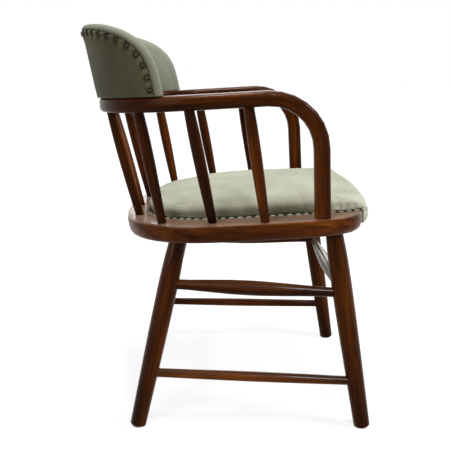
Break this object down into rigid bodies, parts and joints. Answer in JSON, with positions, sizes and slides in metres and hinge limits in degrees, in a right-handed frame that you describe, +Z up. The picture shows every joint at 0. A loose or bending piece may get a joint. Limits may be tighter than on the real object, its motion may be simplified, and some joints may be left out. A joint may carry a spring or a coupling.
{
  "type": "captain's chair",
  "caption": "Turned wooden armchair with a bentwood arm bow on spindles, splayed legs with stretchers, and a nailed velvet seat and crest.",
  "frame": {"origin": "on the floor, under the middle of the chair's overall box", "axes": "+Z up, the sitter faces -Y, and +X is the sitter's left"},
  "size_m": [0.5254, 0.6026, 0.8206],
  "materials": {
    "varnished_wood": "stained dark brown, gloss varnish",
    "green_velvet": "sage-green velvet, short pile",
    "outside_velvet": "the same velvet, stretched flat",
    "jute": "woven jute",
    "plain_wood": "sawn, unfinished",
    "aged_brass": "antique brass"
  },
  "bodies": {
    "root": {"arm_bow": "varnished_wood", "crest_board": "plain_wood", "crest_pad": "green_velvet", "crest_panel": "outside_velvet", "crest_screw_1": "aged_brass", "crest_screw_2": "aged_brass", "crest_screw_3": "aged_brass", "crest_screw_4": "aged_brass", "front_stretcher": "varnished_wood", "hessian": "jute", "leg_front_left": "varnished_wood", "leg_front_right": "varnished_wood", "leg_rear_left": "varnished_wood", "leg_rear_right": "varnished_wood", "rear_stretcher": "varnished_wood", "seat_frame": "varnished_wood", "seat_pad": "green_velvet", "side_stretcher_lower_left": "varnished_wood", "side_stretcher_lower_right": "varnished_wood", "side_stretcher_upper_left": "varnished_wood", "side_stretcher_upper_right": "varnished_wood", "spindle_arm_left": "varnished_wood", "spindle_arm_right": "varnished_wood", "spindle_corner_left": "varnished_wood", "spindle_corner_right": "varnished_wood", "spindle_quarter_left": "varnished_wood", "spindle_quarter_right": "varnished_wood", "spindle_rear": "varnished_wood", "spindle_side_left": "varnished_wood", "spindle_side_right": "varnished_wood", "webbing_crosswise_1": "jute", "webbing_crosswise_2": "jute", "webbing_crosswise_3": "jute", "webbing_crosswise_4": "jute", "webbing_lengthwise_1": "jute", "webbing_lengthwise_2": "jute", "webbing_lengthwise_3": "jute", "webbing_lengthwise_4": "jute"}
  },
  "joints": []
}
